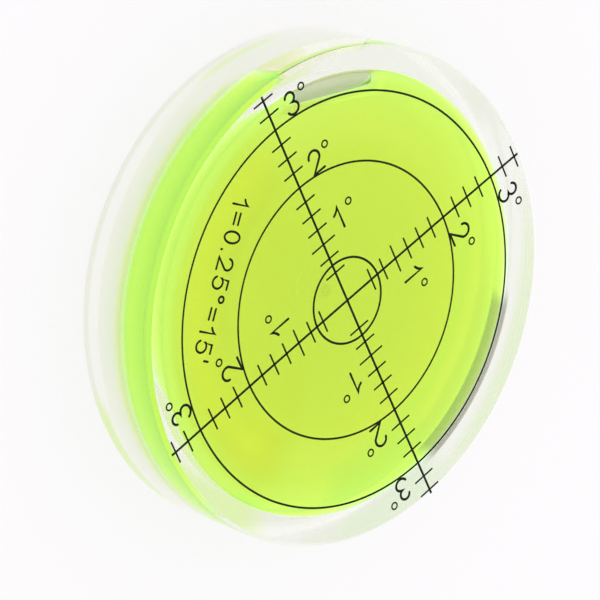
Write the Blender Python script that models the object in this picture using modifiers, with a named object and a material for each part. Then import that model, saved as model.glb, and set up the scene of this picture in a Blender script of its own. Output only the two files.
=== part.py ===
"""Bullseye level: a round clear acrylic vial for levelling in two directions.

A thick turned cup holds the level liquid and its air bubble. A full-diameter
cover, whose underside is a very shallow concave dome, is bonded on the cup's
rim and closes the chamber. The chamber is filled through a small hole on the
axis of the cup's floor, which a stepped plug closes flush with the underside.

Metres, +Z up. The origin is the centre of the underside, and +Z runs along the
axis through the dial.
"""

import math

import bmesh
import bpy
from mathutils import Matrix, Vector

MM = 0.001

# Body
OUTER_R = 30.0 * MM          # outside radius of cup and cover
RIM_H = 12.4 * MM            # overall height, underside to the cover's rim
DIAL_DISH = 0.27 * MM        # how far the dial's centre lies below the rim
TOP_CHAMFER = 0.45 * MM      # broken edge of the cover's rim
BASE_CHAMFER = 0.60 * MM     # broken edge of the underside
STEPS = 96                   # facets round the axis

# Chamber
CHAMBER_R = 26.8 * MM        # bore of the cup
FLOOR_H = 5.5 * MM           # thickness of the cup's floor
FLOOR_FILLET = 0.35 * MM     # corner radius where bore meets floor
JOINT_H = 9.35 * MM          # top of the cup's rim, where the cover is bonded
DOME_R = 476.0 * MM          # radius of the dome under the cover: sets the sensitivity
DOME_STEPS = 7

# Filler hole and plug, on the axis
HOLE_R = 1.0 * MM
COUNTERBORE_R = 2.3 * MM
COUNTERBORE_H = 1.3 * MM
PLUG_STEPS = 32

# Air bubble, drawn against the wall as in an instrument that stands on edge
BUBBLE_AZIMUTH = math.radians(64.0)
BUBBLE_SAGITTA = 2.7 * MM    # depth of the air space in from the wall
BUBBLE_LENGTH = 15.6 * MM    # along the wall
BUBBLE_ROUND = 1.1 * MM      # rounding of the meniscus at both ends

GAP = 0.3 * MM               # clearance left between solids that touch


def clear_scene():
    for obj in list(bpy.data.objects):
        bpy.data.objects.remove(obj, do_unlink=True)


def collection(name, hidden=False):
    made = bpy.data.collections.new(name)
    bpy.context.scene.collection.children.link(made)
    made.hide_render = hidden
    return made


def material(name, colour, roughness, metallic=0.0, transmission=0.0, ior=1.49):
    made = bpy.data.materials.new(name)
    made.use_nodes = True
    shader = made.node_tree.nodes["Principled BSDF"]
    shader.inputs["Base Color"].default_value = (*colour, 1.0)
    shader.inputs["Roughness"].default_value = roughness
    shader.inputs["Metallic"].default_value = metallic
    shader.inputs["Transmission Weight"].default_value = transmission
    shader.inputs["IOR"].default_value = ior
    made.diffuse_color = (*colour, 1.0)
    return made


def turned(name, profile, closed, steps, where, finish):
    """A piece turned about Z from a profile of (radius, height) points."""
    mesh = bpy.data.meshes.new(name)
    points = [(r, 0.0, z) for r, z in profile]
    edges = [(i, i + 1) for i in range(len(points) - 1)]
    if closed:
        edges.append((len(points) - 1, 0))
    mesh.from_pydata(points, edges, [])
    obj = bpy.data.objects.new(name, mesh)
    where.objects.link(obj)
    screw = obj.modifiers.new("turn", "SCREW")
    screw.axis = "Z"
    screw.angle = 2 * math.pi
    screw.steps = screw.render_steps = steps
    screw.use_merge_vertices = True
    screw.merge_threshold = 0.00001
    graph = bpy.context.evaluated_depsgraph_get()
    whole = bpy.data.meshes.new_from_object(obj.evaluated_get(graph))
    whole.name = name
    obj.modifiers.clear()
    obj.data = whole
    whole.shade_smooth()
    whole.set_sharp_from_angle(angle=math.radians(30))
    whole.materials.clear()
    whole.materials.append(finish)
    return obj


def dome_height(r, apex):
    """Height of the cover's concave underside at radius r."""
    return apex - (DOME_R - math.sqrt(DOME_R**2 - r**2))


def dish_height(r):
    """Height of the cover's top, which falls slightly towards the centre."""
    flat_r = OUTER_R - TOP_CHAMFER
    return RIM_H - DIAL_DISH * (1 - (r / flat_r) ** 2)


def cup_profile():
    outer, bore = OUTER_R, CHAMBER_R
    fillet = [
        (
            bore - FLOOR_FILLET + FLOOR_FILLET * math.cos(a),
            FLOOR_H + FLOOR_FILLET - FLOOR_FILLET * math.sin(a),
        )
        for a in (math.radians(90 * k / 3) for k in range(4))
    ]
    return [
        (bore, JOINT_H),
        (outer, JOINT_H),
        (outer, BASE_CHAMFER),
        (outer - BASE_CHAMFER, 0.0),
        (COUNTERBORE_R, 0.0),
        (COUNTERBORE_R, COUNTERBORE_H),
        (HOLE_R, COUNTERBORE_H),
        (HOLE_R, FLOOR_H),
    ] + fillet[::-1]


def cover_profile():
    rim_under = JOINT_H + GAP
    apex = rim_under + DOME_R - math.sqrt(DOME_R**2 - CHAMBER_R**2)
    flat_r = OUTER_R - TOP_CHAMFER
    top = [(flat_r * k / 5, dish_height(flat_r * k / 5)) for k in range(6)]
    dome = [
        (CHAMBER_R * k / DOME_STEPS, dome_height(CHAMBER_R * k / DOME_STEPS, apex))
        for k in range(DOME_STEPS, -1, -1)
    ]
    return top + [(OUTER_R, RIM_H - TOP_CHAMFER), (OUTER_R, rim_under)] + dome


def liquid_profile():
    outer = CHAMBER_R - GAP
    floor = FLOOR_H + GAP
    rim_under = JOINT_H + GAP
    apex = rim_under + DOME_R - math.sqrt(DOME_R**2 - CHAMBER_R**2) - GAP
    top = [
        (outer * k / DOME_STEPS, dome_height(outer * k / DOME_STEPS, apex))
        for k in range(DOME_STEPS + 1)
    ]
    return top + [(outer, floor + FLOOR_FILLET), (outer - FLOOR_FILLET, floor), (0.0, floor)]


def plug_profile():
    """A stepped pin: its head fills the counterbore and its nose ends at the floor."""
    head_r, pin_r = COUNTERBORE_R - GAP, HOLE_R - GAP
    return [
        (0.0, FLOOR_H - 0.05 * MM),
        (pin_r - 0.15 * MM, FLOOR_H - 0.05 * MM),
        (pin_r, FLOOR_H - 0.35 * MM),
        (pin_r, COUNTERBORE_H - GAP),
        (head_r, COUNTERBORE_H - GAP),
        (head_r, 0.30 * MM),
        (head_r - 0.15 * MM, 0.15 * MM),
        (0.0, 0.15 * MM),
    ]


def bubble_cutter(where):
    """A block with rounded uprights that takes the air space out of the liquid."""
    mesh = bpy.data.meshes.new("bubble_cutter")
    bm = bmesh.new()
    bmesh.ops.create_cube(bm, size=1.0)
    depth = 8.0 * MM
    bmesh.ops.scale(bm, vec=Vector((depth, BUBBLE_LENGTH, 20.0 * MM)), verts=bm.verts)
    uprights = [
        e
        for e in bm.edges
        if abs(e.verts[0].co.z - e.verts[1].co.z) > 1.0 * MM and e.verts[0].co.x < 0
    ]
    bmesh.ops.bevel(
        bm, geom=uprights, offset=BUBBLE_ROUND, segments=4, profile=0.5, affect="EDGES"
    )
    bmesh.ops.recalc_face_normals(bm, faces=bm.faces)
    bm.to_mesh(mesh)
    bm.free()
    cutter = bpy.data.objects.new("bubble_cutter", mesh)
    where.objects.link(cutter)
    cutter.hide_render = True
    cutter.display_type = "WIRE"
    reach = CHAMBER_R - BUBBLE_SAGITTA + depth / 2
    cutter.matrix_world = Matrix.Rotation(BUBBLE_AZIMUTH, 4, "Z") @ Matrix.Translation(
        (reach, 0.0, 8.0 * MM)
    )
    return cutter


def main():
    clear_scene()
    parts = collection("bullseye_level")
    helpers = collection("bullseye_level_cutters", hidden=True)

    acrylic = material("clear_acrylic", (0.96, 0.98, 0.95), 0.04, transmission=1.0, ior=1.49)
    tinted = material("level_liquid", (0.46, 0.93, 0.08), 0.0, transmission=0.8, ior=1.42)
    sealing = material("plug_acrylic", (0.80, 0.90, 0.62), 0.25, transmission=0.5, ior=1.49)

    turned("vial_cup", cup_profile(), True, STEPS, parts, acrylic)
    turned("lens_cover", cover_profile(), False, STEPS, parts, acrylic)
    liquid = turned("level_liquid", liquid_profile(), False, STEPS, parts, tinted)
    turned("filler_plug", plug_profile(), False, PLUG_STEPS, parts, sealing)

    cut = liquid.modifiers.new("air bubble", "BOOLEAN")
    cut.operation = "DIFFERENCE"
    cut.solver = "EXACT"
    cut.object = bubble_cutter(helpers)


main()
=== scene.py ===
"""Looks of the bullseye level: clear acrylic vial, fluorescent liquid, air bubble and printed dial."""

import math

import bmesh
import bpy
from mathutils import Matrix, Vector


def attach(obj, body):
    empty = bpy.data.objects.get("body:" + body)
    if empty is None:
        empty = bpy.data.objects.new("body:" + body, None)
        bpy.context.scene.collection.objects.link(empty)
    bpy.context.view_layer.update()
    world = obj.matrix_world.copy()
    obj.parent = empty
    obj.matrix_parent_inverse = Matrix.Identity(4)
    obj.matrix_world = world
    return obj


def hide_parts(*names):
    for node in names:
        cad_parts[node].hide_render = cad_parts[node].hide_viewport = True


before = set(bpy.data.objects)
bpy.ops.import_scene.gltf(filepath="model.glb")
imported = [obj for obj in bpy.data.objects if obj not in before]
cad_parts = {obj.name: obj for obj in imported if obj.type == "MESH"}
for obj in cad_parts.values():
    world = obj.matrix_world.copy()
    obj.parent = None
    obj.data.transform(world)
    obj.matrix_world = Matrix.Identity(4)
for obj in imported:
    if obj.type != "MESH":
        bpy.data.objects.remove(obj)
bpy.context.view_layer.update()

MM = 0.001

# ---------------------------------------------------------------- sizes, in millimetres
OUTER_R = 30.0
RIM_H = 12.4
DISH = 0.27
FLAT_R = 29.55
DIAL_H = RIM_H - DISH
TOP_CHAMFER = 0.45
BASE_CHAMFER = 0.6
CHAMBER_R = 26.8
FLOOR_H = 5.5
JOINT_H = 9.5
BOND_HALF = 0.006            # half the bond line, so that no two faces coincide
DOME_R = 476.0
HOLE_R = 0.85
BORE_R, BORE_H = 2.15, 1.2
FILLET = 0.35
SEGMENTS = 480
DIVISION = 2.08
PRINT_X, PRINT_Y = -0.20, -0.25
BUBBLE_AZ = math.radians(66.3)
BUBBLE_SAGITTA = 2.35        # under the cover; the air reaches further in towards the floor
BUBBLE_HALF = math.radians(11.5)
BUBBLE_DEEPER = 1.8
# the side on which painted shade stands in for a dark reflection, on the joint and on the liquid's wall
SHADE_FROM, SHADE_TO = math.radians(276 - 360), math.radians(322 - 360)


def dish(r):
    return DIAL_H + DISH * min(r / FLAT_R, 1.0) ** 2


def dome(r):
    return JOINT_H + math.sqrt(DOME_R**2 - r * r) - math.sqrt(DOME_R**2 - CHAMBER_R**2)


# ---------------------------------------------------------------- meshes
def new_object(name, mesh, slots, sharp=30.0):
    for m in slots:
        mesh.materials.append(m)
    mesh.shade_smooth()
    mesh.set_sharp_from_angle(angle=math.radians(sharp))
    obj = bpy.data.objects.new(name, mesh)
    bpy.context.scene.collection.objects.link(obj)
    return obj


def lathe_into(bm, profile, slots, closed, segments=SEGMENTS, flip=False):
    """Turns (radius, height) points in millimetres about Z. slots holds one material index for each step of the profile."""
    rings = []
    for r, z in profile:
        if r < 1e-6:
            rings.append([bm.verts.new((0, 0, z * MM))])
        else:
            rings.append(
                [
                    bm.verts.new(
                        (
                            r * MM * math.cos(2 * math.pi * k / segments),
                            r * MM * math.sin(2 * math.pi * k / segments),
                            z * MM,
                        )
                    )
                    for k in range(segments)
                ]
            )
    count = len(profile) if closed else len(profile) - 1
    for i in range(count):
        a, b = rings[i], rings[(i + 1) % len(rings)]
        for k in range(segments):
            n = (k + 1) % segments
            if len(a) == 1:
                loop = [a[0], b[k], b[n]]
            elif len(b) == 1:
                loop = [a[k], b[0], a[n]]
            else:
                loop = [a[k], b[k], b[n], a[n]]
            if flip:
                loop.reverse()
            face = bm.faces.new(loop)
            face.material_index = slots[i]


def rounded(points, radius, steps=4):
    """The open polyline points with each inner corner rounded by an arc of about that radius; radius may be a list."""
    out = [points[0]]
    for i in range(1, len(points) - 1):
        rad = radius[i] if isinstance(radius, (list, tuple)) else radius
        p, q, s = (Vector(points[i + d]) for d in (-1, 0, 1))
        u, v = (p - q), (s - q)
        if rad <= 0:
            out.append(tuple(q))
            continue
        half = u.angle(v) / 2
        cut = min(rad / math.tan(half), 0.45 * u.length, 0.45 * v.length)
        a, b = q + u.normalized() * cut, q + v.normalized() * cut
        for k in range(steps + 1):
            t = k / steps
            m = (1 - t) ** 2 * a + 2 * t * (1 - t) * q + t * t * b
            out.append(tuple(m))
    out.append(points[-1])
    return out


# ---------------------------------------------------------------- materials
def nodes_of(name):
    mat = bpy.data.materials.new(name)
    mat.use_nodes = True
    tree = mat.node_tree
    return mat, tree, tree.nodes["Principled BSDF"]


def noise_bump(tree, shader, scale, strength, distance, stretch=(1, 1, 1), detail=3.0):
    coord = tree.nodes.new("ShaderNodeTexCoord")
    mapping = tree.nodes.new("ShaderNodeMapping")
    mapping.inputs["Scale"].default_value = stretch
    noise = tree.nodes.new("ShaderNodeTexNoise")
    noise.inputs["Scale"].default_value = scale
    noise.inputs["Detail"].default_value = detail
    bump = tree.nodes.new("ShaderNodeBump")
    bump.inputs["Strength"].default_value = strength
    bump.inputs["Distance"].default_value = distance
    tree.links.new(coord.outputs["Object"], mapping.inputs["Vector"])
    tree.links.new(mapping.outputs["Vector"], noise.inputs["Vector"])
    tree.links.new(noise.outputs["Fac"], bump.inputs["Height"])
    tree.links.new(bump.outputs["Normal"], shader.inputs["Normal"])
    return noise


def rough_by(tree, shader, noise, low, high):
    span = tree.nodes.new("ShaderNodeMapRange")
    span.inputs["From Min"].default_value = 0.3
    span.inputs["From Max"].default_value = 0.7
    span.inputs["To Min"].default_value = low
    span.inputs["To Max"].default_value = high
    tree.links.new(noise.outputs["Fac"], span.inputs["Value"])
    tree.links.new(span.outputs["Result"], shader.inputs["Roughness"])


def window(tree, source, low, high, soft):
    """A value that is 1 between low and high and 0 outside them, with soft edges."""
    ends = []
    for at, rising in ((low, True), (high, False)):
        step = tree.nodes.new("ShaderNodeMapRange")
        step.interpolation_type = "SMOOTHSTEP"
        step.inputs["From Min"].default_value = at - soft
        step.inputs["From Max"].default_value = at + soft
        step.inputs["To Min"].default_value = 0.0 if rising else 1.0
        step.inputs["To Max"].default_value = 1.0 if rising else 0.0
        tree.links.new(source, step.inputs["Value"])
        ends.append(step.outputs["Result"])
    return product(tree, *ends)


def product(tree, first, second):
    both = tree.nodes.new("ShaderNodeMath")
    both.operation = "MULTIPLY"
    tree.links.new(first, both.inputs[0])
    tree.links.new(second, both.inputs[1])
    return both.outputs["Value"]


def blend(tree, factor, first, second):
    """A colour between first and second, each a socket or a plain colour."""
    mix = tree.nodes.new("ShaderNodeMix")
    mix.data_type = "RGBA"
    tree.links.new(factor, mix.inputs["Factor"])
    for socket, value in (("A", first), ("B", second)):
        if isinstance(value, tuple):
            mix.inputs[socket].default_value = (*value, 1)
        else:
            tree.links.new(value, mix.inputs[socket])
    return mix.outputs["Result"]


def polar(tree, coord):
    """Radius in millimetres, angle and height in millimetres about the object's axis."""
    flat = tree.nodes.new("ShaderNodeVectorMath")
    flat.operation = "MULTIPLY"
    flat.inputs[1].default_value = (1 / MM, 1 / MM, 0)
    length = tree.nodes.new("ShaderNodeVectorMath")
    length.operation = "LENGTH"
    split = tree.nodes.new("ShaderNodeSeparateXYZ")
    angle = tree.nodes.new("ShaderNodeMath")
    angle.operation = "ARCTAN2"
    height = tree.nodes.new("ShaderNodeMath")
    height.operation = "MULTIPLY"
    height.inputs[1].default_value = 1 / MM
    tree.links.new(coord.outputs["Object"], flat.inputs[0])
    tree.links.new(flat.outputs["Vector"], length.inputs[0])
    tree.links.new(coord.outputs["Object"], split.inputs[0])
    tree.links.new(split.outputs["Y"], angle.inputs[0])
    tree.links.new(split.outputs["X"], angle.inputs[1])
    tree.links.new(split.outputs["Z"], height.inputs[0])
    return length.outputs["Value"], angle.outputs["Value"], height.outputs["Value"]


def along(tree, coord, azimuth):
    """How far a point lies from the axis towards that azimuth, in millimetres."""
    dot = tree.nodes.new("ShaderNodeVectorMath")
    dot.operation = "DOT_PRODUCT"
    dot.inputs[1].default_value = (math.cos(azimuth) / MM, math.sin(azimuth) / MM, 0)
    tree.links.new(coord.outputs["Object"], dot.inputs[0])
    return dot.outputs["Value"]


def sector(tree, coord, radius, middle, half, soft=6):
    """1 within half of the azimuth middle and 0 outside it; all three in degrees."""
    ratio = tree.nodes.new("ShaderNodeMath")
    ratio.operation = "DIVIDE"
    tree.links.new(along(tree, coord, math.radians(middle)), ratio.inputs[0])
    tree.links.new(radius, ratio.inputs[1])
    edge = tree.nodes.new("ShaderNodeMapRange")
    edge.interpolation_type = "SMOOTHSTEP"
    edge.inputs["From Min"].default_value = math.cos(math.radians(half + soft))
    edge.inputs["From Max"].default_value = math.cos(math.radians(half - soft))
    tree.links.new(ratio.outputs["Value"], edge.inputs["Value"])
    return edge.outputs["Result"]


def clear(name, ior, colour=(1, 1, 1), rough=(0.0, 0.02), bump=0.02, scale=60.0):
    mat, tree, shader = nodes_of(name)
    shader.inputs["Base Color"].default_value = (*colour, 1)
    shader.inputs["Transmission Weight"].default_value = 1.0
    shader.inputs["IOR"].default_value = ior
    if bump:
        rough_by(tree, shader, noise_bump(tree, shader, scale, bump, 0.0002, detail=2.0), *rough)
        return mat
    coord = tree.nodes.new("ShaderNodeTexCoord")
    shader.inputs["Roughness"].default_value = rough[0]
    if rough[1] > rough[0]:
        noise = tree.nodes.new("ShaderNodeTexNoise")
        noise.inputs["Scale"].default_value = scale
        noise.inputs["Detail"].default_value = 0.0
        tree.links.new(coord.outputs["Object"], noise.inputs["Vector"])
        rough_by(tree, shader, noise, *rough)
    return mat


ACRYLIC_IOR, LIQUID_IOR = 1.49, 1.42
polished = clear("acrylic_polished", ACRYLIC_IOR, (0.995, 0.998, 0.992))
wet = clear("acrylic_wet_face", ACRYLIC_IOR / LIQUID_IOR, (1, 1, 1), (0.0, 0.01), 0.0)


def wall_material():
    """The turned outer wall. On one side a soft glow is painted into its colour beside the lower edge of the liquid."""
    mat = clear("acrylic_wall", ACRYLIC_IOR, (0.995, 0.998, 0.992), (0.0, 0.03), 0.03, 90.0)
    tree = mat.node_tree
    coord = tree.nodes["Texture Coordinate"]
    share = tree.nodes.new("ShaderNodeMath")
    share.operation = "MULTIPLY"
    share.inputs[1].default_value = 1 / RIM_H
    radius, _, height = polar(tree, coord)
    tree.links.new(height, share.inputs[0])
    glow = tree.nodes.new("ShaderNodeValToRGB")
    for spot, colour in (
        (0.455, (0.995, 0.998, 0.992)),
        (0.505, (0.940, 1.000, 0.640)),
        (0.570, (0.690, 0.980, 0.140)),
        (0.620, (0.740, 0.900, 0.450)),
        (0.670, (0.800, 0.850, 0.800)),
        (0.745, (0.995, 0.998, 0.992)),
    ):
        stop = glow.color_ramp.elements.new(spot)
        stop.color = (*colour, 1)
    glow.color_ramp.elements[0].color = (0.995, 0.998, 0.992, 1)
    glow.color_ramp.elements[-1].color = (0.995, 0.998, 0.992, 1)
    tree.links.new(share.outputs["Value"], glow.inputs["Fac"])
    # painted glow: only on the side around azimuth 160 degrees
    tint = blend(tree, sector(tree, coord, radius, 160, 72), (0.995, 0.998, 0.992), glow.outputs["Color"])
    tree.links.new(tint, tree.nodes["Principled BSDF"].inputs["Base Color"])
    return mat


turned_wall = wall_material()


def satin_material():
    """The rubbed underside: it spreads the light that comes up through it from the table. Light from the liquid is
    painted into its colour.
    """
    mat = clear("acrylic_satin_underside", ACRYLIC_IOR, (0.97, 0.975, 0.965), (0.6, 0.8), 0.02, 400.0)
    tree = mat.node_tree
    shader = tree.nodes["Principled BSDF"]
    shader.inputs["Transmission Weight"].default_value = 0.6
    spread = tree.nodes.new("ShaderNodeBsdfTranslucent")
    cloud = tree.nodes.new("ShaderNodeTexNoise")
    cloud.inputs["Scale"].default_value = 120.0
    cloud.inputs["Detail"].default_value = 5.0
    tint = tree.nodes.new("ShaderNodeValToRGB")
    tint.color_ramp.elements[0].color = (0.97, 0.97, 0.965, 1)
    tint.color_ramp.elements[1].color = (1.0, 1.0, 1.0, 1)
    # painted light: the green light from the liquid is painted into the face under and around the chamber, by radius
    coord = tree.nodes["Texture Coordinate"]
    radius = polar(tree, coord)[0]
    share = tree.nodes.new("ShaderNodeMath")
    share.operation = "MULTIPLY"
    share.inputs[1].default_value = 1 / OUTER_R
    tree.links.new(radius, share.inputs[0])
    painted_light_zone = tree.nodes.new("ShaderNodeValToRGB")
    painted_light_zone.color_ramp.interpolation = "EASE"
    for spot, colour in (
        (0.500, (0.885, 0.925, 0.850)),
        (0.710, (0.930, 0.930, 0.890)),
        (0.787, (0.930, 0.935, 0.860)),
        (0.817, (0.950, 0.950, 0.910)),
        (0.850, (0.975, 0.965, 0.945)),
        (0.905, (0.995, 0.985, 0.970)),
        (0.925, (0.930, 0.920, 0.860)),
        (0.955, (0.930, 0.920, 0.850)),
        (0.970, (0.960, 0.960, 0.920)),
    ):
        stop = painted_light_zone.color_ramp.elements.new(spot)
        stop.color = (*colour, 1)
    painted_light_zone.color_ramp.elements[0].color = (0.885, 0.925, 0.850, 1)
    painted_light_zone.color_ramp.elements[-1].color = (0.96, 0.96, 0.92, 1)
    tree.links.new(share.outputs["Value"], painted_light_zone.inputs["Fac"])
    under = painted_light_zone.outputs["Color"]
    # painted light and reflections by side: green glow, paler patches and brighter edges in chosen sectors; each row is
    # radius span, softness, sector (middle, half width) and colour
    for ring, soft, arc, colour in (
        ((26.2, 40.0), 0.8, (200, 26), (0.820, 0.965, 0.500)),
        ((25.9, 40.0), 0.7, (44, 30), (0.960, 0.960, 0.910)),
        ((24.8, 26.9), 0.5, (76, 10), (0.860, 0.950, 0.640)),
        ((27.9, 40.0), 0.4, (346, 16), (1.000, 1.000, 0.980)),
        ((15.5, 22.0), 1.5, (150, 60), (0.870, 0.920, 0.790)),
        ((23.2, 25.7), 0.9, (304, 40), (0.880, 0.950, 0.740)),
        ((23.5, 29.0), 0.9, (266, 14), (0.860, 0.930, 0.760)),
        ((24.5, 27.2), 0.3, (140, 34), (1.000, 0.985, 1.000)),
    ):
        where = product(tree, window(tree, radius, *ring, soft), sector(tree, coord, radius, *arc))
        under = blend(tree, where, under, colour)
    both = tree.nodes.new("ShaderNodeMix")
    both.data_type = "RGBA"
    both.blend_type = "MULTIPLY"
    both.inputs["Factor"].default_value = 1.0
    mix = tree.nodes.new("ShaderNodeMixShader")
    mix.inputs["Fac"].default_value = 0.97
    tree.links.new(coord.outputs["Object"], cloud.inputs["Vector"])
    tree.links.new(cloud.outputs["Fac"], tint.inputs["Fac"])
    tree.links.new(tint.outputs["Color"], both.inputs["A"])
    tree.links.new(under, both.inputs["B"])
    tree.links.new(both.outputs["Result"], spread.inputs["Color"])
    tree.links.new(shader.outputs["BSDF"], mix.inputs[1])
    tree.links.new(spread.outputs["BSDF"], mix.inputs[2])
    # painted glow: a faint emission stands in for light that has run along inside the clear body and leaves it here
    painted_stray_glow = tree.nodes.new("ShaderNodeEmission")
    painted_stray_glow.inputs["Strength"].default_value = 0.04
    tree.links.new(both.outputs["Result"], painted_stray_glow.inputs["Color"])
    total = tree.nodes.new("ShaderNodeAddShader")
    tree.links.new(mix.outputs["Shader"], total.inputs[0])
    tree.links.new(painted_stray_glow.outputs["Emission"], total.inputs[1])
    tree.links.new(total.outputs["Shader"], tree.nodes["Material Output"].inputs["Surface"])
    return mat


satin = satin_material()


def bonded_material():
    """The cemented joint. Along one side its inner edge is painted darker, a painted shade standing in for a dark
    reflection.
    """
    mat = clear("acrylic_bonded_face", 1.0, (1, 1, 1), (0.0, 0.0), 0.0)
    tree = mat.node_tree
    radius, angle, _ = polar(tree, tree.nodes["Texture Coordinate"])
    # painted shade: a darker arc on the joint's inner edge between SHADE_FROM and SHADE_TO
    ring = window(tree, radius, 26.6, 27.45, 0.15)
    sector = window(tree, angle, SHADE_FROM, SHADE_TO, 0.06)
    tint = blend(tree, product(tree, ring, sector), (1.0, 1.0, 1.0), (0.50, 0.50, 0.42))
    tree.links.new(tint, tree.nodes["Principled BSDF"].inputs["Base Color"])
    return mat


bonded = bonded_material()


def liquid_material():
    mat, tree, shader = nodes_of("level_liquid")
    shader.inputs["Base Color"].default_value = (1, 1, 1, 1)
    shader.inputs["Transmission Weight"].default_value = 1.0
    shader.inputs["Roughness"].default_value = 0.0
    shader.inputs["IOR"].default_value = 1.0
    shader.inputs["Emission Strength"].default_value = 1.0
    coord = tree.nodes.new("ShaderNodeTexCoord")
    radius, angle, height = polar(tree, coord)
    share = tree.nodes.new("ShaderNodeMath")
    share.operation = "MULTIPLY"
    share.inputs[1].default_value = 1 / CHAMBER_R
    tree.links.new(radius, share.inputs[0])
    # painted glow standing in for fluorescence: strongest where daylight enters, close to the wall, and different on
    # the lit side and with height
    ramps = []
    for stops in (
        (
            (0.00, (0.046, 0.082, 0.031)),
            (0.60, (0.048, 0.090, 0.036)),
            (0.75, (0.052, 0.112, 0.056)),
            (0.84, (0.040, 0.122, 0.066)),
            (0.93, (0.028, 0.135, 0.090)),
            (1.00, (0.060, 0.185, 0.160)),
        ),
        (
            (0.00, (0.046, 0.082, 0.031)),
            (0.55, (0.048, 0.086, 0.034)),
            (0.65, (0.130, 0.150, 0.034)),
            (0.75, (0.180, 0.190, 0.040)),
            (0.83, (0.120, 0.140, 0.030)),
            (0.90, (0.030, 0.100, 0.048)),
            (0.966, (0.000, 0.055, 0.060)),
            (1.00, (0.000, 0.050, 0.050)),
        ),
        (
            (0.00, (0.046, 0.082, 0.031)),
            (0.60, (0.040, 0.070, 0.026)),
            (0.70, (0.000, 0.020, 0.020)),
            (0.83, (0.000, 0.020, 0.022)),
            (0.92, (0.000, 0.080, 0.050)),
            (0.97, (0.035, 0.190, 0.100)),
            (1.00, (0.040, 0.200, 0.100)),
        ),
    ):
        ramp = tree.nodes.new("ShaderNodeValToRGB")
        ramp.color_ramp.interpolation = "EASE"
        for spot, colour in stops[1:-1]:
            stop = ramp.color_ramp.elements.new(spot)
            stop.color = (*colour, 1)
        ramp.color_ramp.elements[0].color = (*stops[0][1], 1)
        ramp.color_ramp.elements[-1].color = (*stops[-1][1], 1)
        tree.links.new(share.outputs["Value"], ramp.inputs["Fac"])
        ramps.append(ramp.outputs["Color"])
    upper = window(tree, height, 8.0, 20.0, 0.5)
    painted_lit_side = sector(tree, coord, radius, 155, 62, 10)
    glow = blend(tree, painted_lit_side, ramps[0], blend(tree, upper, ramps[1], ramps[2]))
    # painted shade: the glow is dimmed on the far side, outside radius 23.6 mm
    painted_far_shade = product(tree, sector(tree, coord, radius, 299, 22), window(tree, radius, 23.6, 40.0, 0.6))
    glow = blend(tree, painted_far_shade, glow, (0.014, 0.120, 0.085))
    # painted glow, brightest on the wall itself
    wall = window(tree, radius, 26.68, 40.0, 0.06)
    glow = blend(tree, wall, glow, (0.030, 0.190, 0.080))
    # the wall takes up some red and blue of what passes it
    film = tree.nodes.new("ShaderNodeValToRGB")
    film.color_ramp.elements[0].position = 0.985
    film.color_ramp.elements[0].color = (1, 1, 1, 1)
    film.color_ramp.elements[1].position = 0.998
    film.color_ramp.elements[1].color = (0.88, 0.93, 0.90, 1)
    tree.links.new(share.outputs["Value"], film.inputs["Fac"])
    # no liquid, so no glow, where the air lies against the cover, the floor and the wall
    depth = tree.nodes.new("ShaderNodeMath")
    depth.operation = "MULTIPLY_ADD"
    depth.inputs[1].default_value = -0.25
    depth.inputs[2].default_value = JOINT_H / 4
    tree.links.new(height, depth.inputs[0])

    def leaning(source, by):
        lean = tree.nodes.new("ShaderNodeMath")
        lean.operation = "MULTIPLY_ADD"
        lean.inputs[1].default_value = by
        tree.links.new(depth.outputs["Value"], lean.inputs[0])
        tree.links.new(source, lean.inputs[2])
        return lean.outputs["Value"]

    air = product(
        tree,
        window(tree, leaning(along(tree, coord, BUBBLE_AZ), BUBBLE_DEEPER), CHAMBER_R - BUBBLE_SAGITTA, 40.0, 0.1),
        product(
            tree,
            window(tree, leaning(angle, math.radians(8.0)), BUBBLE_AZ - BUBBLE_HALF - 0.035, 9.0, 0.02),
            window(tree, leaning(angle, math.radians(-1.5)), -9.0, BUBBLE_AZ + BUBBLE_HALF + 0.03, 0.02),
        ),
    )
    # the meniscus where the wall meets the cover
    corner = product(tree, window(tree, radius, 26.6, 40.0, 0.1), window(tree, height, 8.6, 20.0, 0.45))
    under_cover = product(tree, window(tree, radius, 26.45, 40.0, 0.1), window(tree, height, 9.43, 20.0, 0.03))
    # painted shade: a deeper tone on the wall along one side, in its glow and its colour, standing in for a dark
    # reflection
    shade = product(tree, window(tree, angle, SHADE_FROM, SHADE_TO, 0.05), window(tree, height, 5.9, 20.0, 0.3))
    shade = product(tree, shade, window(tree, radius, 26.55, 40.0, 0.1))
    glow_out = blend(tree, shade, glow, (0.010, 0.060, 0.020))
    glow_out = blend(tree, air, glow_out, (0.0, 0.0, 0.0))
    # painted light: on the lit side the wall's colour is tinted
    film_out = blend(tree, product(tree, wall, painted_lit_side), film.outputs["Color"], (0.74, 0.94, 0.96))
    film_out = blend(tree, shade, film_out, (0.34, 0.36, 0.50))
    film_air = blend(tree, corner, (1.0, 1.0, 1.0), (0.78, 1.0, 0.36))
    film_air = blend(tree, under_cover, film_air, (0.62, 0.62, 1.0))
    film_out = blend(tree, air, film_out, film_air)
    tree.links.new(glow_out, shader.inputs["Emission Color"])
    tree.links.new(film_out, shader.inputs["Base Color"])
    volume = tree.nodes.new("ShaderNodeVolumeAbsorption")
    volume.inputs["Color"].default_value = (0.9400, 0.9660, 0.0, 1)
    volume.inputs["Density"].default_value = 1500.0
    tree.links.new(volume.outputs["Volume"], tree.nodes["Material Output"].inputs["Volume"])
    return mat


liquid_mat = liquid_material()


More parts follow.
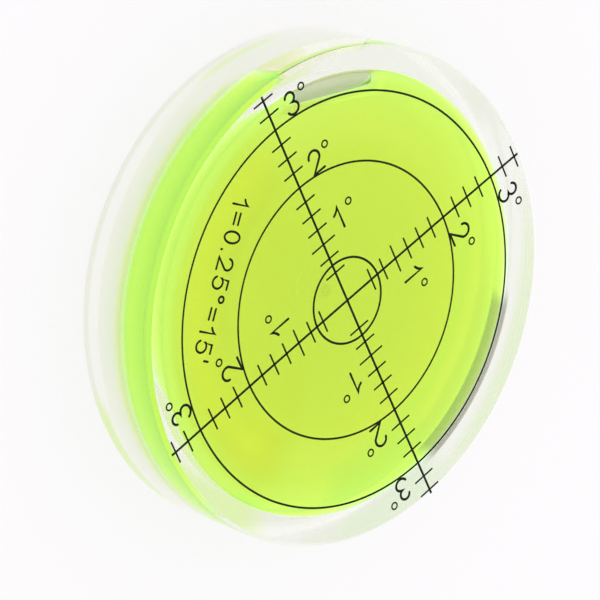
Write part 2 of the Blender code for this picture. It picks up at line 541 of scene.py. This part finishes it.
def skin_material():
    """The liquid's free surface. The part against the cover gets a painted grey shade, more so at one end."""
    mat = clear("bubble_skin", LIQUID_IOR, (1, 1, 1), (0.0, 0.0), 0.0)
    tree = mat.node_tree
    coord = tree.nodes["Texture Coordinate"]
    height = polar(tree, coord)[2]
    top = window(tree, height, 9.45, 20.0, 0.1)
    run = window(tree, along(tree, coord, BUBBLE_AZ + math.pi / 2), -2.0, 40.0, 4.0)
    # painted shade: grey tint on the air's face under the cover
    grey = blend(tree, run, (0.25, 0.38, 0.14), (0.28, 0.39, 0.17))
    tint = blend(tree, top, (1.0, 1.0, 1.0), grey)
    tree.links.new(tint, tree.nodes["Principled BSDF"].inputs["Base Color"])
    return mat


def side_material():
    """The leaning sides of the air space. A film of liquid clings to them, thickest under the cover."""
    mat = clear("bubble_side", 1.0, (1, 1, 1), (0.0, 0.0), 0.0)
    tree = mat.node_tree
    height = polar(tree, tree.nodes["Texture Coordinate"])[2]
    share = tree.nodes.new("ShaderNodeMapRange")
    share.inputs["From Min"].default_value = FLOOR_H
    share.inputs["From Max"].default_value = JOINT_H
    film = tree.nodes.new("ShaderNodeValToRGB")
    film.color_ramp.elements[0].color = (1.0, 1.0, 1.0, 1)
    film.color_ramp.elements[1].color = (0.50, 0.80, 0.12, 1)
    film.color_ramp.elements.new(0.5).color = (0.70, 0.84, 0.25, 1)
    tree.links.new(height, share.inputs["Value"])
    tree.links.new(share.outputs["Result"], film.inputs["Fac"])
    tree.links.new(film.outputs["Color"], tree.nodes["Principled BSDF"].inputs["Base Color"])
    return mat


air_skin = skin_material()
air_side = side_material()


def plug_material():
    mat, tree, shader = nodes_of("plug_acrylic")
    shader.inputs["Base Color"].default_value = (0.86, 0.92, 0.72, 1)
    shader.inputs["Transmission Weight"].default_value = 0.9
    shader.inputs["IOR"].default_value = 1.03
    noise = noise_bump(tree, shader, 1500.0, 0.2, 0.0002)
    rough_by(tree, shader, noise, 0.2, 0.4)
    return mat


plug_mat = plug_material()


def ink_material():
    mat, tree, shader = nodes_of("dial_ink")
    noise = noise_bump(tree, shader, 4000.0, 0.15, 0.0001)
    rough_by(tree, shader, noise, 0.45, 0.65)
    ramp = tree.nodes.new("ShaderNodeValToRGB")
    ramp.color_ramp.elements[0].color = (0.001, 0.004, 0.001, 1)
    ramp.color_ramp.elements[1].color = (0.004, 0.010, 0.002, 1)
    shader.inputs["Specular IOR Level"].default_value = 0.15
    tree.links.new(noise.outputs["Fac"], ramp.inputs["Fac"])
    tree.links.new(ramp.outputs["Color"], shader.inputs["Base Color"])
    return mat


ink = ink_material()

# ---------------------------------------------------------------- the clear body
OUT, WALL, BOND, WET, SATIN = range(5)
body_slots = [polished, turned_wall, bonded, wet, satin]


def build_cover():
    top = [(FLAT_R * k / 24, dish(FLAT_R * k / 24)) for k in range(24)]
    edge = rounded(
        [(FLAT_R * 23 / 24, dish(FLAT_R * 23 / 24)), (FLAT_R, RIM_H), (OUTER_R, RIM_H - TOP_CHAMFER), (OUTER_R, JOINT_H + BOND_HALF)],
        [0, 0.12, 0.12, 0],
    )[1:]
    under = [(CHAMBER_R * k / 24, dome(CHAMBER_R * k / 24) + BOND_HALF) for k in range(24, -1, -1)]
    profile = top + edge + under
    slots = []
    for (r0, z0), (r1, z1) in zip(profile, profile[1:]):
        if abs(r0 - OUTER_R) < 1e-6 and abs(r1 - OUTER_R) < 1e-6:
            slots.append(WALL)
        elif abs(z0 - JOINT_H) < 0.01 and abs(z1 - JOINT_H) < 0.01:
            slots.append(BOND)
        elif z0 < JOINT_H + 1.0 and r0 <= CHAMBER_R + 1e-6:
            slots.append(WET)
        else:
            slots.append(OUT)
    bm = bmesh.new()
    lathe_into(bm, profile, slots, False)
    mesh = bpy.data.meshes.new("clear_cover")
    bm.to_mesh(mesh)
    bm.free()
    return new_object("clear_cover", mesh, body_slots)


def fillet_points():
    return [
        (
            CHAMBER_R - FILLET + FILLET * math.cos(a),
            FLOOR_H + FILLET - FILLET * math.sin(a),
        )
        for a in (math.radians(90 * k / 6) for k in range(6, -1, -1))
    ]


def build_cup():
    outer = rounded(
        [(OUTER_R, JOINT_H - BOND_HALF), (OUTER_R, BASE_CHAMFER), (OUTER_R - BASE_CHAMFER, 0.0), (BORE_R, 0.0)],
        [0, 0.1, 0.1, 0],
    )
    profile = [(CHAMBER_R, JOINT_H - BOND_HALF)] + outer + [(BORE_R, BORE_H), (HOLE_R, BORE_H), (HOLE_R, FLOOR_H)] + fillet_points()
    slots = []
    for i, (r0, z0) in enumerate(profile):
        r1, z1 = profile[(i + 1) % len(profile)]
        if abs(z0 - JOINT_H) < 0.01 and abs(z1 - JOINT_H) < 0.01:
            slots.append(BOND)
        elif max(r0, r1) <= BORE_R + 1e-6:
            slots.append(BOND)
        elif max(z0, z1) < BASE_CHAMFER + 0.2 and min(r0, r1) > BORE_R - 1e-3 and max(r0, r1) <= OUTER_R:
            slots.append(SATIN)
        elif r0 > CHAMBER_R + 1e-3 and r1 > CHAMBER_R + 1e-3:
            slots.append(WALL)
        else:
            slots.append(WET)
    bm = bmesh.new()
    lathe_into(bm, profile, slots, True)
    mesh = bpy.data.meshes.new("clear_cup")
    bm.to_mesh(mesh)
    bm.free()
    return new_object("clear_cup", mesh, body_slots)


# ---------------------------------------------------------------- bubble and liquid
def bubble_into(bm, inset, slot, flip):
    """The air space against the chamber's wall: a rounded segment through the chamber's depth."""
    layers, arc, turn, line = 18, 40, 8, 24
    loops = []

    def drawn(h, round_r):
        """How far a rounded edge of that radius stands back at the height h above the face, as a share of the radius."""
        return 0.0 if h >= round_r else 1 - math.sqrt(max(1 - (1 - h / round_r) ** 2, 0.0))

    for j in range(layers + 1):
        u = 0.5 - 0.5 * math.cos(math.pi * j / layers)
        drop = 1 - u
        spin = Matrix.Rotation(BUBBLE_AZ - math.radians(3.25) * drop, 3, "Z")
        wall = CHAMBER_R - 0.04 - inset - (0.34 * drawn(drop * 4.2, 0.42) if u > 0.5 else 0.0)
        d = CHAMBER_R - BUBBLE_SAGITTA - BUBBLE_DEEPER * drop + inset
        c_ang = BUBBLE_HALF + math.radians(4.75) * drop - inset / CHAMBER_R
        rad = (wall * math.cos(c_ang) - d) / (1 + math.cos(c_ang))
        cx, cy = d + rad, (wall - rad) * math.sin(c_ang)
        outline = []
        for k in range(arc + 1):
            a = -c_ang + 2 * c_ang * k / arc
            outline.append((wall * math.cos(a), wall * math.sin(a)))
        for k in range(1, turn + 1):
            a = c_ang + (math.pi - c_ang) * k / turn
            outline.append((cx + rad * math.cos(a), cy + rad * math.sin(a)))
        for k in range(1, line):
            outline.append((d, cy - 2 * cy * k / line))
        for k in range(turn):
            a = math.pi + (math.pi - c_ang) * k / turn
            outline.append((cx + rad * math.cos(a), -cy + rad * math.sin(a)))
        ring = []
        for x, y in outline:
            low = FLOOR_H + 0.04 + inset
            if math.hypot(x, y) > CHAMBER_R - FILLET:
                low += max(0.0, math.hypot(x, y) - (CHAMBER_R - FILLET)) ** 2 / FILLET
            high = dome(math.hypot(x, y)) - 0.04 - inset
            p = spin @ Vector((x, y, 0))
            ring.append(bm.verts.new((p.x * MM, p.y * MM, (low + (high - low) * u) * MM)))
        loops.append(ring)
    n = len(loops[0])
    faces = []
    for a, b in zip(loops, loops[1:]):
        for k in range(n):
            m = (k + 1) % n
            faces.append(bm.faces.new((a[k], a[m], b[m], b[k])))
    for ring, up in ((loops[0], False), (loops[-1], True)):
        # the wall's arc is tied to the rest of the outline strip by strip
        left = list(range(arc // 2, -1, -1)) + list(range(n - 1, n - 1 - turn - line // 2 + 0, -1))
        right = list(range(arc // 2, arc + 1 + turn + line // 2))
        left = left[: len(right)]
        while len(left) < len(right):
            left.append(right[-1])
        for i in range(len(right) - 1):
            quad = []
            for idx in (left[i], right[i], right[i + 1], left[i + 1]):
                v = ring[idx % n]
                if v not in quad:
                    quad.append(v)
            if len(quad) >= 3:
                if not up:
                    quad.reverse()
                faces.append(bm.faces.new(quad))
    for f in faces:
        f.material_index = slot
    bmesh.ops.recalc_face_normals(bm, faces=faces)
    volume = 0.0
    for f in faces:
        vs = [v.co for v in f.verts]
        for i in range(1, len(vs) - 1):
            volume += vs[0].dot(vs[i].cross(vs[i + 1])) / 6
    if (volume < 0) != flip:
        bmesh.ops.reverse_faces(bm, faces=faces)


def build_bubble():
    bm = bmesh.new()
    bubble_into(bm, 0.0, 0, True)
    mesh = bpy.data.meshes.new("air_bubble")
    bm.to_mesh(mesh)
    bm.free()
    made = new_object("air_bubble", mesh, [air_skin, air_side], 32)
    for face in made.data.polygons:
        level = abs(face.normal.z) > 0.9
        at_wall = math.hypot(face.center.x, face.center.y) > (CHAMBER_R - 0.2) * MM
        face.material_index = 0 if level or at_wall else 1
    return made


def build_liquid():
    gap = 0.02
    top = [(CHAMBER_R * k / 24, dome(CHAMBER_R * k / 24) - gap) for k in range(24)]
    top.append((CHAMBER_R - gap, dome(CHAMBER_R) - gap))
    low = [
        (r - gap if r > CHAMBER_R - 0.05 else r, z + gap)
        for r, z in reversed(fillet_points())
    ]
    profile = top + low + [(0.0, FLOOR_H + gap)]
    bm = bmesh.new()
    lathe_into(bm, profile, [0] * (len(profile) - 1), False)
    bubble_into(bm, 0.02, 0, True)
    mesh = bpy.data.meshes.new("liquid_fill")
    bm.to_mesh(mesh)
    bm.free()
    return new_object("liquid_fill", mesh, [liquid_mat], 60)


def build_plug():
    profile = rounded(
        [(0.0, FLOOR_H - 0.03), (HOLE_R - 0.01, FLOOR_H - 0.03), (HOLE_R - 0.01, BORE_H - 0.01), (BORE_R - 0.01, BORE_H - 0.01), (BORE_R - 0.01, 0.12), (BORE_R - 0.15, 0.04), (0.0, 0.04)],
        [0, 0.15, 0.0, 0.0, 0.05, 0.05, 0],
    )
    bm = bmesh.new()
    lathe_into(bm, profile, [0] * (len(profile) - 1), False, 64)
    mesh = bpy.data.meshes.new("plug_body")
    bm.to_mesh(mesh)
    bm.free()
    made = new_object("plug_body", mesh, [plug_mat, satin, bonded])
    for face in made.data.polygons:
        if face.center.z < 0.08 * MM:
            face.material_index = 1
        elif face.center.z < (FLOOR_H - 0.05) * MM:
            face.material_index = 2
    return made


# ---------------------------------------------------------------- the dial's print
INK_LOW, INK_HIGH = -0.004, 0.016


class Inkwork:
    """Collects flat strokes of ink that follow the cover's dished top. Coordinates are in millimetres from the print's centre."""

    def __init__(self):
        self.bm = bmesh.new()

    def point(self, x, y, up):
        x, y = x + PRINT_X, y + PRINT_Y
        z = dish(math.hypot(x, y)) + (INK_HIGH if up else INK_LOW)
        return self.bm.verts.new((x * MM, y * MM, z * MM))

    def stroke(self, pts, width, closed=False, round_ends=True, step=0.7):
        pts = [Vector(p) for p in pts]
        dense = []
        pairs = list(zip(pts, pts[1:])) + ([(pts[-1], pts[0])] if closed else [])
        for a, b in pairs:
            n = max(1, int(math.ceil((b - a).length / step)))
            dense += [a + (b - a) * k / n for k in range(n)]
        if not closed:
            dense.append(pts[-1])
        half = width / 2
        count = len(dense)
        sides = []
        for i, p in enumerate(dense):
            before = dense[i - 1] if (i or closed) else None
            after = dense[(i + 1) % count] if (i < count - 1 or closed) else None
            d0 = (p - before).normalized() if before is not None else None
            d1 = (after - p).normalized() if after is not None else None
            d0 = d0 or d1
            d1 = d1 or d0
            n0, n1 = Vector((-d0.y, d0.x)), Vector((-d1.y, d1.x))
            m = n0 + n1
            if m.length < 1e-6:
                m = n0
            m.normalize()
            m *= half / max(m.dot(n0), 0.45)
            sides.append((p + m, p - m))
        left, right = [s[0] for s in sides], [s[1] for s in sides]
        if closed:
            self.band(left, right, True)
            return
        ends = []
        if round_ends:
            for tip, d in ((dense[0], (dense[0] - dense[1]).normalized()), (dense[-1], (dense[-1] - dense[-2]).normalized())):
                a0 = math.atan2(d.y, d.x)
                ends.append([tip + Vector((math.cos(a0 + t), math.sin(a0 + t))) * half for t in (-1.05, -0.52, 0.0, 0.52, 1.05)])
        self.band(left, right, False, ends)

    def band(self, left, right, closed, ends=()):
        lu, ru = [self.point(*p, True) for p in left], [self.point(*p, True) for p in right]
        ld, rd = [self.point(*p, False) for p in left], [self.point(*p, False) for p in right]
        n = len(left)
        make = self.bm.faces.new
        for i in range(n if closed else n - 1):
            j = (i + 1) % n
            make((lu[i], ru[i], ru[j], lu[j]))
            make((ld[j], rd[j], rd[i], ld[i]))
            make((ld[i], lu[i], lu[j], ld[j])[::-1])
            make((rd[i], rd[j], ru[j], ru[i])[::-1])
        if closed:
            return
        for k, (i, first) in enumerate(((0, True), (n - 1, False))):
            arc = ends[k] if ends else []
            up = [self.point(*p, True) for p in arc]
            down = [self.point(*p, False) for p in arc]
            # seen along the end's own direction the arc runs from one side to the other
            a_u, b_u, a_d, b_d = (lu[i], ru[i], ld[i], rd[i]) if first else (ru[i], lu[i], rd[i], ld[i])
            chain_u, chain_d = [a_u] + up + [b_u], [a_d] + down + [b_d]
            if len(chain_u) > 2:
                make(chain_u)
                make(chain_d[::-1])
            for p, q, s, t in zip(chain_u, chain_u[1:], chain_d[1:], chain_d):
                make((p, t, s, q))

    def disc(self, x, y, r):
        pts = [(x + r * math.cos(2 * math.pi * k / 16), y + r * math.sin(2 * math.pi * k / 16)) for k in range(16)]
        up = [self.point(*p, True) for p in pts]
        down = [self.point(*p, False) for p in pts]
        self.bm.faces.new(up)
        self.bm.faces.new(down[::-1])
        for k in range(16):
            j = (k + 1) % 16
            self.bm.faces.new((up[k], down[k], down[j], up[j]))


def arc_points(cx, cy, rx, ry, start, stop, steps):
    return [
        (
            cx + rx * math.cos(math.radians(start + (stop - start) * k / steps)),
            cy + ry * math.sin(math.radians(start + (stop - start) * k / steps)),
        )
        for k in range(steps + 1)
    ]


# each sign is (width, strokes, rings): in units of its own height, base line at 0
SIGNS = {
    "1": (0.42, [[(0.02, 0.72), (0.14, 0.79), (0.25, 0.89), (0.31, 1.0), (0.31, 0.0)]], []),
    "2": (0.66, [arc_points(0.32, 0.69, 0.29, 0.30, 172, -28, 14) + [(0.45, 0.42), (0.03, 0.0), (0.64, 0.0)]], []),
    "3": (
        0.64,
        [
            arc_points(0.31, 0.755, 0.245, 0.245, 160, -90, 14)[:-1]
            + arc_points(0.30, 0.265, 0.30, 0.262, 88, -165, 16)
        ],
        [],
    ),
    "5": (0.64, [[(0.58, 1.0), (0.15, 1.0), (0.07, 0.50)] + arc_points(0.31, 0.33, 0.31, 0.33, 140, -155, 18)], []),
    "0": (0.62, [], [(0.31, 0.5, 0.29, 0.5)]),
    "=": (0.62, [[(0.0, 0.66), (0.58, 0.66)], [(0.0, 0.36), (0.58, 0.36)]], []),
    ".": (0.12, [[(0.05, 0.0), (0.05, 0.05)]], []),
    "'": (0.12, [[(0.05, 1.0), (0.05, 0.74)]], []),
    "o": (0.36, [], [(0.17, 0.84, 0.16, 0.16)]),
}


def sign(work, char, place, size, width):
    """Draws one sign. place turns its own coordinates into the dial's, in millimetres."""
    _, strokes, rings = SIGNS[char]
    for s in strokes:
        work.stroke([place(x * size, y * size) for x, y in s], width, step=5.0)
    for cx, cy, rx, ry in rings:
        pts = arc_points(cx, cy, rx, ry, 0, 360, 28)[:-1]
        work.stroke([place(x * size, y * size) for x, y in pts], width, closed=True, step=5.0)


def build_print():
    work = Inkwork()
    u = DIVISION
    for r, w in ((2.5, 0.28), (8, 0.25), (12, 0.25)):
        n = 180 if r > 3 else 96
        pts = [(r * u * math.cos(2 * math.pi * k / n), r * u * math.sin(2 * math.pi * k / n)) for k in range(n)]
        work.stroke(pts, w, closed=True, step=5.0)
    for dx, dy in ((1, 0), (0, 1)):
        work.stroke([(-14.3 * u * dx, -14.3 * u * dy), (14.3 * u * dx, 14.3 * u * dy)], 0.30, round_ends=False)
    for turn in range(4):
        c, s = (1, 0, -1, 0)[turn], (0, -1, 0, 1)[turn]

        def at(x, y, c=c, s=s):
            # turn = 0 is the +Y arm, then clockwise
            return (c * x - s * y, s * x + c * y)

        for d in (2, 3, 4, 5, 6, 7, 9, 10, 11, 13, 14):
            h = 0.93 if d == 4 else 0.74
            work.stroke([at(-h * u, d * u), at(h * u, d * u)], 0.23, round_ends=False)
        for char, x, y in (("3", 1.64, 12.70), ("2", 1.64, 8.68), ("1", 1.60, 4.68)):
            size = 1.36 * u
            w = SIGNS[char][0] * size

            def place(gx, gy, x=x, y=y, w=w, size=size):
                return at(x * u - w / 2 + gx, y * u - size / 2 + gy)

            sign(work, char, place, size, 0.32)
        for y in (13.18, 9.18, 5.18):
            pts = [at(2.6 * u + 0.20 * u * math.cos(a), y * u + 0.20 * u * math.sin(a)) for a in (2 * math.pi * k / 24 for k in range(24))]
            work.stroke(pts, 0.21, closed=True, step=5.0)
    # one division in degrees and minutes, between the two outer rings
    text, size = "1=0.25o=15'", 1.12 * u
    gap = 0.30 * size
    total = sum(SIGNS[ch][0] * size for ch in text) + gap * (len(text) - 1)
    start, end = Vector((-3.9 * u, 9.7 * u)), Vector((-10.0 * u, 3.75 * u))
    along = (end - start).normalized()
    upward = Vector((-along.y, along.x))
    if upward.dot(-(start + end)) < 0:
        upward = -upward
    middle = (start + end) / 2 - upward * size / 2
    cursor = -total / 2
    for ch in text:
        base = middle + along * cursor

        def place(gx, gy, base=base):
            p = base + along * gx + upward * gy
            return (p.x, p.y)

        sign(work, ch, place, size, 0.28)
        cursor += SIGNS[ch][0] * size + gap
    bmesh.ops.recalc_face_normals(work.bm, faces=work.bm.faces)
    mesh = bpy.data.meshes.new("dial_print")
    work.bm.to_mesh(mesh)
    work.bm.free()
    return new_object("dial_print", mesh, [ink], 40)


cup = build_cup()
cover = build_cover()
liquid = build_liquid()
bubble = build_bubble()
plug = build_plug()
dial = build_print()

for piece, node in ((cup, "vial_cup"), (cover, "lens_cover"), (liquid, "level_liquid"), (plug, "filler_plug")):
    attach(piece, "root")
    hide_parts(node)
for piece in (bubble, dial):
    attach(piece, "root")


# ---------------------------------------------------------------- floor, light, camera
def build_floor():
    mat, tree, shader = nodes_of("studio_floor")
    shader.inputs["Base Color"].default_value = (0.19, 0.172, 0.186, 1)
    shader.inputs["Emission Color"].default_value = (1.0, 0.998, 1.0, 1)
    shader.inputs["Emission Strength"].default_value = 0.80
    shader.inputs["Roughness"].default_value = 0.9
    shader.inputs["Specular IOR Level"].default_value = 0.1
    mesh = bpy.data.meshes.new("studio_floor")
    bm = bmesh.new()
    bmesh.ops.create_grid(bm, x_segments=8, y_segments=8, size=3.0)
    bm.to_mesh(mesh)
    bm.free()
    obj = new_object("studio_floor", mesh, [mat])
    obj.location.z = -0.00004
    return obj


build_floor()


world = bpy.data.worlds.new("studio")
bpy.context.scene.world = world
world.use_nodes = True
back = world.node_tree.nodes["Background"]
back.inputs["Color"].default_value = (1.0, 0.996, 1.0, 1)
back.inputs["Strength"].default_value = 1.0

# the photograph's own camera: position, axes and focal length from a fit to the dial
CAM_AT = Vector((-234.04, 286.48, 386.77 + DIAL_H)) * MM
RIGHT = Vector((0.68162177, -0.33843051, 0.64873458))
DOWN = Vector((-0.59207572, -0.77604884, 0.21724307))
AHEAD = Vector((0.42992803, -0.53217760, -0.72934827))
cam_data = bpy.data.cameras.new("photo_camera")
cam_data.sensor_width = 36.0
cam_data.lens = 4587.76 / 600 * 36.0
cam_data.clip_start, cam_data.clip_end = 0.01, 50.0
cam = bpy.data.objects.new("photo_camera", cam_data)
bpy.context.scene.collection.objects.link(cam)
turn = Matrix((RIGHT, -DOWN, -AHEAD)).transposed()
cam.matrix_world = Matrix.Translation(CAM_AT) @ turn.to_4x4()
bpy.context.scene.camera = cam

scene = bpy.context.scene
scene.view_settings.view_transform = "Standard"
scene.view_settings.look = "None"
scene.view_settings.exposure = 0.0
scene.view_settings.gamma = 1.0
scene.cycles.max_bounces = 20
scene.cycles.transmission_bounces = 18
scene.cycles.glossy_bounces = 6
scene.cycles.diffuse_bounces = 3
scene.cycles.transparent_max_bounces = 24
scene.cycles.volume_bounces = 0
scene.cycles.caustics_reflective = True
scene.cycles.caustics_refractive = True
scene.cycles.blur_glossy = 0.3
scene.cycles.sample_clamp_indirect = 8.0
scene.cycles.use_denoising = True
scene.cycles.denoiser = "OPENIMAGEDENOISE"
